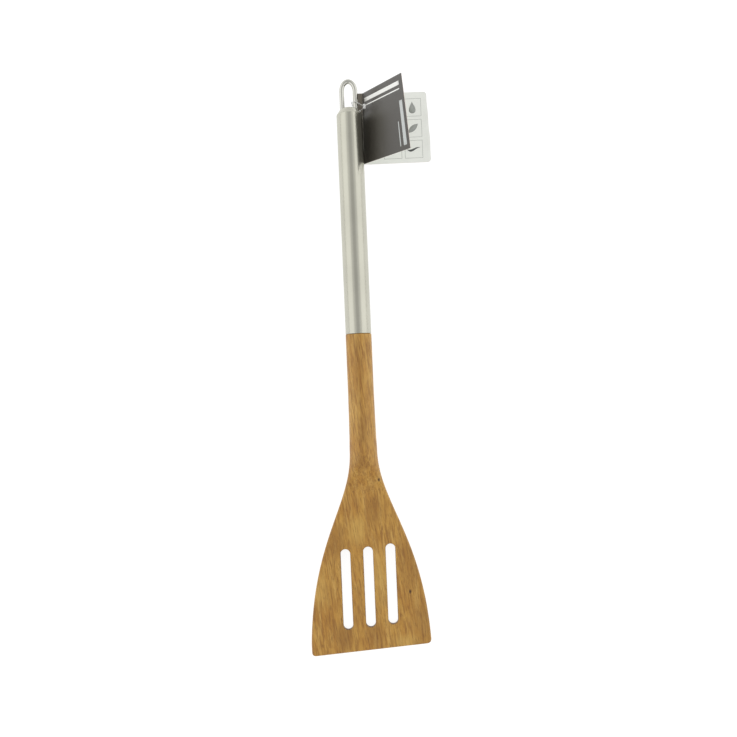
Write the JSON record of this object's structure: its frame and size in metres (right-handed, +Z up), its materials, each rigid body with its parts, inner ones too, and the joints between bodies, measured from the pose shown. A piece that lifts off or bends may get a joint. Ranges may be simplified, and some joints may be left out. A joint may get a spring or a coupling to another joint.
{
  "type": "grill spatula",
  "caption": "Slotted wooden grill spatula with a steel-sleeved handle, a wire hanging loop and a folded card tag on a nylon loop tie.",
  "frame": {"origin": "on the resting surface, on the tool's long axis, on the flat underside at the root of the blade, 100 mm below the steel sleeve's lower end", "axes": "+Y along the tool toward the hanging loop, +Z up out of the blade's upper face, +X to the right seen from above with the loop at the top"},
  "size_m": [0.0989, 0.4038, 0.0404],
  "materials": {
    "wood": "oiled satin, straight grain",
    "adhesive": "cured adhesive film",
    "brushed_sleeve": "fine satin",
    "brushed_cap": "fine satin",
    "bright_wire": "polished stainless wire",
    "nylon": "translucent white",
    "tag_pale": "coated card",
    "tag_dark": "coated card, semi-gloss print"
  },
  "bodies": {
    "spatula": {"blade_and_shank": "wood", "tenon_adhesive": "adhesive", "tube_sleeve": "brushed_sleeve", "end_cap": "brushed_cap", "hanging_loop": "bright_wire"},
    "tie": {"loop_tie": "nylon"},
    "tag": {"tag_back_leaf": "tag_pale"},
    "cover": {"tag_front_cover": "tag_dark"}
  },
  "joints": [
    {"name": "tie_swing", "type": "hinge", "parent": "spatula", "child": "tie", "pos_m": [0.0047, 0.2612, 0.009], "axis": [0, -1, 0], "range_deg": [0, 60]},
    {"name": "tag_pivot", "type": "hinge", "parent": "tie", "child": "tag", "pos_m": [0.0077, 0.2578, 0.0014], "axis": [0, 0, 1], "range_deg": [0, 20]},
    {"name": "cover_fold", "type": "hinge", "parent": "tag", "child": "cover", "pos_m": [0.00948, 0.245, 0.00168], "axis": [0.019, 0.9998, 0], "range_deg": [-11, 48]}
  ]
}
